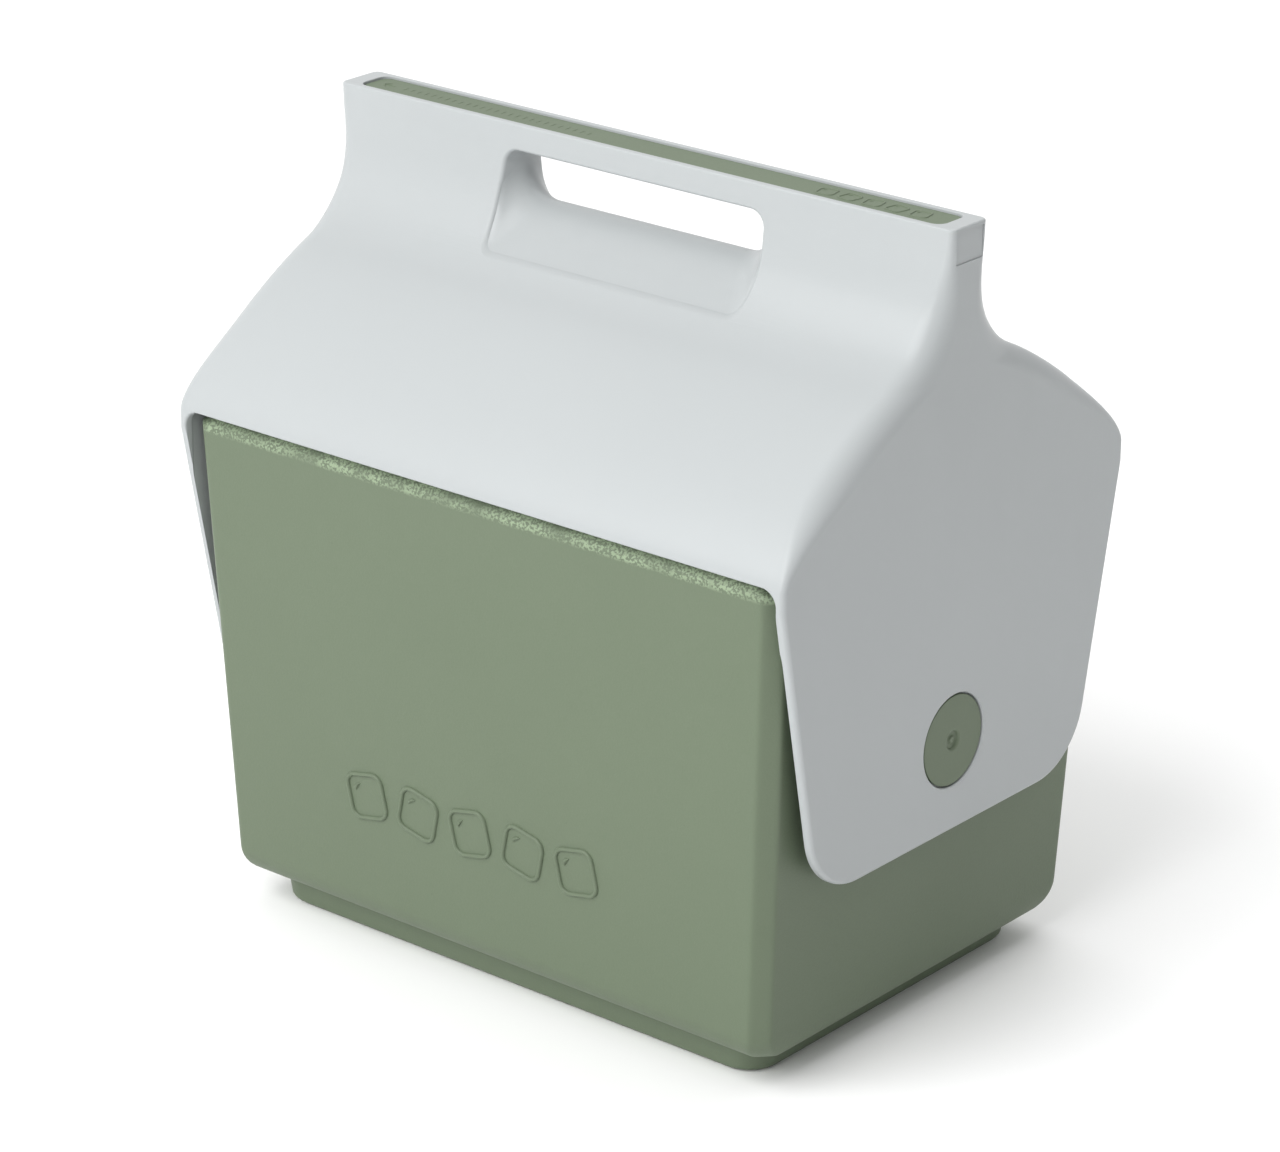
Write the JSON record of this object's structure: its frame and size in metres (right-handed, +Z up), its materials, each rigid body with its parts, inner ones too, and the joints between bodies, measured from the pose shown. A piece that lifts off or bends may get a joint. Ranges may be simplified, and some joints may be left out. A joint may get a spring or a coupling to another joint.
{
  "type": "personal cooler",
  "caption": "Personal tent-top picnic cooler: an insulated box under a swing lid with a carrying slot, pivot plugs and a push-button latch.",
  "frame": {"origin": "centre of the footprint, on the ground under the base pan", "axes": "+X along the long sides and along the lid's pivot line, -Y out of the plain long side that the lid's top swings towards, +Y out of the latch side, +Z up"},
  "size_m": [0.28, 0.198, 0.3],
  "materials": {
    "lid_grey": "smooth light cool grey moulded plastic, semi-gloss",
    "body_green": "sage green moulded plastic, satin with a fine pebble texture",
    "liner_white": "smooth off-white moulded plastic",
    "foam_cream": "matt foamed insulation, pale cream",
    "bushing_white": "natural white slippery plastic",
    "spring_steel": "bright stainless sheet and wire"
  },
  "bodies": {
    "body": {"outer_shell": "body_green", "base_pan": "body_green", "body_foam": "foam_cream", "inner_liner": "liner_white", "pivot_plug_left": "body_green", "pivot_plug_right": "body_green", "pivot_bushing_left": "bushing_white", "pivot_bushing_right": "bushing_white", "pivot_clip_left": "spring_steel", "pivot_clip_right": "spring_steel", "latch_strike": "spring_steel", "strike_screw_left": "spring_steel", "strike_screw_right": "spring_steel"},
    "lid": {"lid_shell": "lid_grey", "lid_liner": "liner_white", "lid_foam_front": "foam_cream", "lid_foam_rear": "foam_cream", "handle_strip": "body_green", "latch_spring": "spring_steel"},
    "button": {"latch_button": "body_green"}
  },
  "joints": [
    {"name": "lid_swing", "type": "hinge", "parent": "body", "child": "lid", "pos_m": [0, 0, 0.111], "axis": [1, 0, 0], "range_deg": [0, 85]},
    {"name": "button_press", "type": "slide", "parent": "lid", "child": "button", "axis": [0, -1, 0], "range_m": [0, 0.001], "stiffness_N_per_m": 400, "deforming": ["latch_spring"]}
  ]
}
